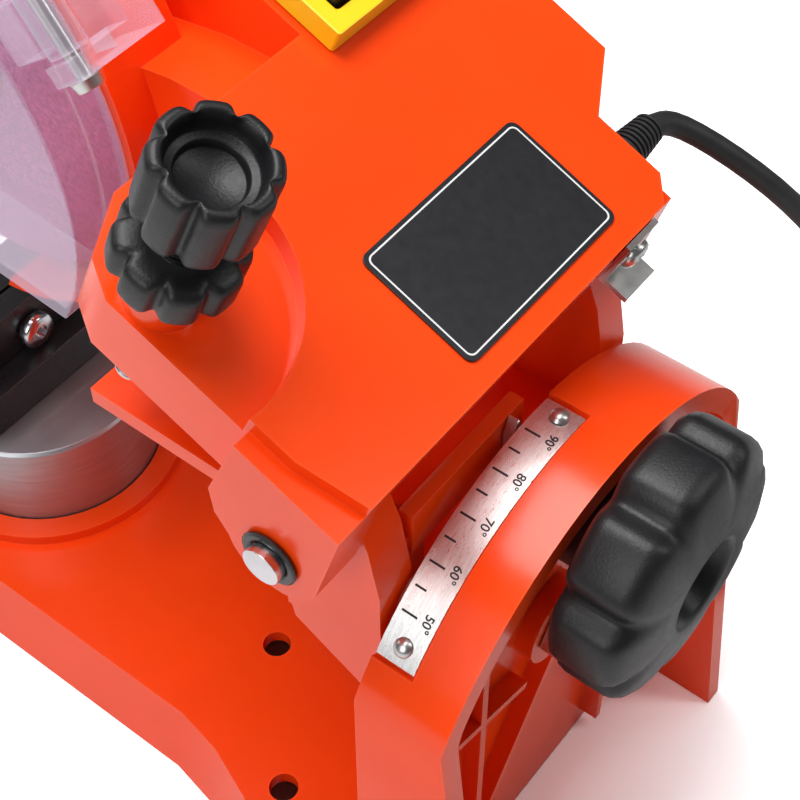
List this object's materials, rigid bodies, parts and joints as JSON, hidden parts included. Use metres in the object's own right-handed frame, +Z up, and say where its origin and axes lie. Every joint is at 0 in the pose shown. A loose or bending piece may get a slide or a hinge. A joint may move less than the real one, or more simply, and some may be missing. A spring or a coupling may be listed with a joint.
{
  "type": "saw chain sharpener",
  "caption": "Electric bench sharpener for saw chain: tilting head with grinding wheel, depth stop, angle scale, turning chain vise and mains cord.",
  "frame": {"origin": "on the floor, on the underside of the base, directly below the axis about which the head tilts", "axes": "+X is the operator's right, -Y is the operator's side where the chain vise is, +Z is up"},
  "size_m": [0.277, 0.4766, 0.2887],
  "materials": {
    "orange_casting": "gloss red-orange paint on die-cast aluminium",
    "brushed_aluminium": "brushed",
    "bright_steel": "bright",
    "zinc_plate": "zinc plated",
    "black_plastic": "fine grain, matte",
    "black_enamel": "black enamel",
    "black_rubber": "matte",
    "yellow_plastic": "satin",
    "dark_label": "printed film",
    "laminated_steel": "laminated core",
    "pink_abrasive": "vitrified abrasive",
    "clear_plastic": "clear with a lilac tint",
    "satin_aluminium": "turned, satin"
  },
  "bodies": {
    "base": {"base_casting": "orange_casting", "scale_plate": "brushed_aluminium", "scale_rivet_top": "zinc_plate", "scale_rivet_low": "zinc_plate", "power_cord": "black_rubber", "cord_coil": "black_rubber", "mains_plug": "black_rubber"},
    "tilt": {"tilt_bracket": "orange_casting", "scale_pointer": "zinc_plate", "clamp_stud": "bright_steel", "tilt_pivot_bolt": "bright_steel", "tilt_pivot_nut": "zinc_plate", "clamp_washer": "zinc_plate", "hinge_pin": "bright_steel", "pin_clip_plus": "black_enamel", "pin_clip_minus": "black_enamel", "return_spring": "bright_steel"},
    "lock": {"lock_knob": "black_plastic"},
    "head": {"head_casting": "orange_casting", "rating_plate": "dark_label", "switch_frame": "yellow_plastic", "motor_stator": "laminated_steel", "motor_end_cover": "black_plastic", "cord_bracket": "zinc_plate", "bracket_screw": "zinc_plate", "cord_gland": "black_rubber", "guard_hinge_lug": "clear_plastic", "guard_hinge_screw": "zinc_plate", "motor_bearing_rear": "bright_steel", "motor_bearing_front": "bright_steel"},
    "rocker": {"switch_rocker": "black_plastic"},
    "stop_screw": {"depth_screw": "bright_steel"},
    "stop_knob": {"depth_knob": "black_plastic"},
    "jam_knob": {"depth_jam_knob": "black_plastic"},
    "spindle": {"motor_rotor": "laminated_steel", "grinding_wheel": "pink_abrasive", "wheel_flange_inner": "bright_steel", "wheel_flange_outer": "bright_steel", "wheel_nut": "zinc_plate"},
    "guard": {"wheel_guard_clear": "clear_plastic"},
    "table": {"vise_turntable": "satin_aluminium", "vise_fixed_jaw": "black_enamel", "jaw_guide_minus": "bright_steel", "jaw_guide_plus": "bright_steel", "vise_spring": "bright_steel", "chain_stop_post": "zinc_plate", "chain_stop_screw": "bright_steel"},
    "table_lock": {"table_lock_knob": "black_plastic"},
    "jaw": {"vise_moving_jaw": "black_enamel"},
    "vise_clamp": {"vise_lever": "black_plastic", "vise_screw": "bright_steel"},
    "stop_pawl": {"chain_stop": "bright_steel"}
  },
  "joints": [
    {"name": "head_tilt", "type": "hinge", "parent": "base", "child": "tilt", "pos_m": [0, 0, 0.105], "axis": [0, 1, 0], "range_deg": [0, 40]},
    {"name": "lock_turn", "type": "hinge", "parent": "tilt", "child": "lock", "pos_m": [0, 0.03, 0.158], "axis": [0, 1, 0], "range_deg": [-180, 180]},
    {"name": "head_pivot", "type": "hinge", "parent": "tilt", "child": "head", "pos_m": [0, -0.0198, 0.1887], "axis": [1, 0, 0], "range_deg": [-25, 10], "stiffness_Nm_per_rad": 5.2, "springref_deg": -71.62, "deforming": ["power_cord"]},
    {"name": "wheel_spin", "type": "hinge", "parent": "head", "child": "spindle", "pos_m": [0, -0.18596, 0.209], "axis": [1, 0, 0], "continuous": true},
    {"name": "guard_open", "type": "hinge", "parent": "head", "child": "guard", "pos_m": [0.03, -0.11122, 0.26435], "axis": [0, 0.5951, -0.8036], "range_deg": [-80, 0]},
    {"name": "switch_rock", "type": "hinge", "parent": "head", "child": "rocker", "pos_m": [-0.039, -0.08376, 0.25477], "axis": [1, 0, 0], "range_deg": [-8, 8]},
    {"name": "stop_travel", "type": "slide", "parent": "head", "child": "stop_screw", "axis": [0, 0.3984, 0.9172], "range_m": [-0.005, 0.02]},
    {"name": "stop_turn", "type": "hinge", "parent": "stop_screw", "child": "stop_knob", "pos_m": [0.056, -0.05692, 0.23875], "axis": [0, 0.3984, 0.9172], "range_deg": [-1440, 5760]},
    {"name": "jam_turn", "type": "hinge", "parent": "head", "child": "jam_knob", "pos_m": [0.056, -0.05692, 0.23875], "axis": [0, 0.3984, 0.9172], "range_deg": [-180, 180]},
    {"name": "table_turn", "type": "hinge", "parent": "base", "child": "table", "pos_m": [0, -0.194, 0.025], "axis": [0, 0, 1], "range_deg": [-35, 35]},
    {"name": "table_lock_turn", "type": "hinge", "parent": "table", "child": "table_lock", "pos_m": [0, -0.194, 0.012], "axis": [0, 0, 1], "range_deg": [-180, 180]},
    {"name": "jaw_close", "type": "slide", "parent": "table", "child": "jaw", "axis": [0, 1, 0], "range_m": [-0.001, 0]},
    {"name": "lever_turn", "type": "hinge", "parent": "table", "child": "vise_clamp", "pos_m": [0, -0.2, 0.0853], "axis": [0, 1, 0], "range_deg": [0, 60]},
    {"name": "stop_flip", "type": "hinge", "parent": "table", "child": "stop_pawl", "pos_m": [-0.041, -0.21, 0.101], "axis": [1, 0, 0], "range_deg": [0, 100]}
  ],
  "couplings": [
    {"joint": "stop_turn", "follows": "stop_travel", "rad_per_m": 5026.5},
    {"joint": "lever_turn", "follows": "jaw_close", "rad_per_m": -1047.2}
  ]
}
